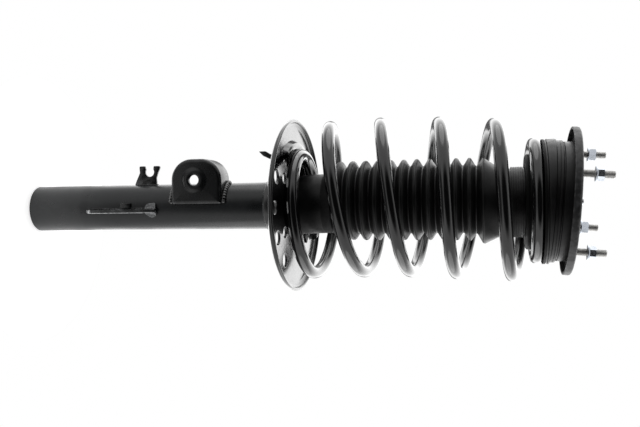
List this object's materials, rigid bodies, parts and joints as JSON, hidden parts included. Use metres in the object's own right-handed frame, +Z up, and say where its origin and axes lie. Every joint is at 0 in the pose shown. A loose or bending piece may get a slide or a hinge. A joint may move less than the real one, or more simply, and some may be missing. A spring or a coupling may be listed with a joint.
{
  "type": "suspension strut assembly",
  "caption": "Suspension strut: damper tube with a link bracket and dished spring seat, coil spring around a folded dust boot, and a turning top mount with tower studs.",
  "frame": {"origin": "centre of the damper tube's lower end", "axes": "+Z up the strut's axis towards the tower studs, -X towards the stabiliser link bracket, -Y the way that bracket's flat face looks"},
  "size_m": [0.195, 0.1948, 0.666],
  "materials": {
    "tube_paint": "satin charcoal paint",
    "bracket_paint": "satin black paint",
    "seat_enamel": "gloss black enamel",
    "spring_enamel": "gloss black enamel",
    "boot_rubber": "satin black rubber",
    "pad_rubber": "matte black rubber",
    "seat_plastic": "satin black moulding",
    "mount_moulding": "satin dark grey moulding",
    "plate_coat": "textured dark grey coat",
    "zinc": "bright zinc plate",
    "stud_steel": "rolled thread, oiled",
    "bare_steel": "machined",
    "sintered_iron": "machined",
    "bush_bronze": "machined",
    "nylon": "natural nylon",
    "bump_foam": "microcellular foam",
    "rod_chrome": "hard chrome"
  },
  "bodies": {
    "strut_body": {"outer_tube": "tube_paint", "base_cap": "tube_paint", "locating_blade": "bracket_paint", "hose_clip": "bracket_paint", "link_bracket": "bracket_paint", "lower_spring_seat": "seat_enamel", "line_tab": "bracket_paint", "lower_insulator": "pad_rubber", "coil_spring": "spring_enamel", "dust_boot": "boot_rubber", "pressure_cylinder": "bare_steel", "foot_valve": "sintered_iron", "rod_guide": "sintered_iron", "guide_bush": "bush_bronze", "rod_seal": "pad_rubber", "tube_cap": "tube_paint"},
    "upper_seat": {"upper_spring_seat": "seat_plastic", "upper_insulator": "pad_rubber", "boot_band": "seat_plastic", "bearing_lower_race": "bare_steel"},
    "top_mount": {"bearing_balls": "bare_steel", "bearing_cage": "nylon", "bearing_upper_race": "bare_steel", "mount_body": "mount_moulding", "mount_plate": "plate_coat", "mount_rubber": "boot_rubber", "mount_core": "bare_steel", "mount_studs": "stud_steel", "stud_nuts": "zinc", "core_washer": "zinc", "rod_nut": "zinc", "bump_cup": "bare_steel", "bump_stop": "bump_foam", "piston_rod": "rod_chrome", "rebound_stop": "nylon", "piston": "sintered_iron", "piston_band": "nylon", "piston_nut": "bare_steel"}
  },
  "joints": [
    {"name": "compression", "type": "slide", "parent": "strut_body", "child": "upper_seat", "axis": [0, 0, 1], "range_m": [-0.125, 0], "stiffness_N_per_m": 30000, "springref_m": 0.0015, "deforming": ["coil_spring", "dust_boot"]},
    {"name": "steering", "type": "hinge", "parent": "upper_seat", "child": "top_mount", "pos_m": [0, 0, 0.59], "axis": [0, 0, 1], "range_deg": [-40, 40]}
  ]
}
